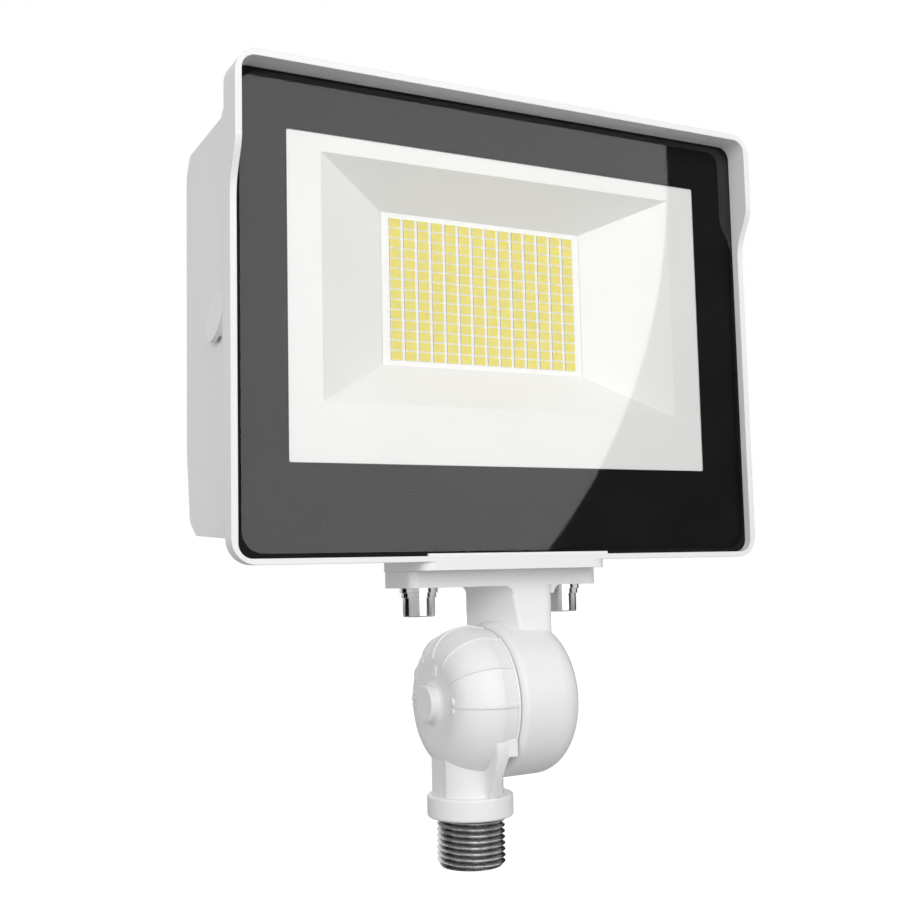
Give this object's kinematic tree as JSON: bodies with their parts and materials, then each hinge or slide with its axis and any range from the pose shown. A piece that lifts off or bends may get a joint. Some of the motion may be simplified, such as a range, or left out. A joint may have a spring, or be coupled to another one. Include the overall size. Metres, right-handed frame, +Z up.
{
  "type": "flood light",
  "caption": "Hooded LED flood light head that tilts on a clamped two-part swivel, held up by a hollow threaded nipple under the swivel's stem.",
  "frame": {"origin": "centre of the lower end of the threaded nipple", "axes": "+Z up the stem, -Y the way the light shines, +X along the tilt axis towards the bolt's head"},
  "size_m": [0.1852, 0.0667, 0.2398],
  "materials": {
    "white_cast": "white powder coat over die-cast aluminium",
    "clear_glass": "polished, black print round the window",
    "white_moulding": "satin",
    "bare_aluminium": "mill finish",
    "board_white": "white solder mask",
    "phosphor": "yellow phosphor gel",
    "stainless": "polished",
    "zinc_steel": "zinc plated",
    "black_silicone": "matte",
    "grey_rubber": "satin",
    "black_rubber": "satin",
    "black_plastic": "satin",
    "driver_plastic": "satin"
  },
  "bodies": {
    "base": {"nipple": "zinc_steel", "stem_knuckle": "white_cast", "friction_ring": "black_plastic", "swivel_oring": "black_rubber"},
    "head": {"swivel_arm": "white_cast", "pivot_lock_washer": "stainless", "pivot_flat_washer": "stainless", "flange_screws": "stainless", "flange_lock_washers": "stainless", "flange_flat_washers": "stainless", "flange_gasket": "black_rubber", "housing": "white_cast", "breather_plug": "black_plastic", "front_frame": "white_cast", "frame_gasket": "grey_rubber", "frame_screws": "stainless", "lens_glass": "clear_glass", "lens_seal": "black_silicone", "reflector": "white_moulding", "led_board": "board_white", "led_chips": "phosphor", "board_screws": "stainless", "thermal_pad": "grey_rubber", "mounting_plate": "bare_aluminium", "plate_screws": "stainless", "driver_case": "driver_plastic", "driver_lid": "driver_plastic", "driver_screws": "stainless"},
    "clamp_bolt": {"pivot_bolt": "stainless"}
  },
  "joints": [
    {"name": "tilt", "type": "hinge", "parent": "base", "child": "head", "pos_m": [0, 0, 0.05015], "axis": [1, 0, 0], "range_deg": [-90, 90]},
    {"name": "bolt_turn", "type": "hinge", "parent": "base", "child": "clamp_bolt", "pos_m": [0, 0, 0.05015], "axis": [1, 0, 0], "range_deg": [0, 360]}
  ]
}
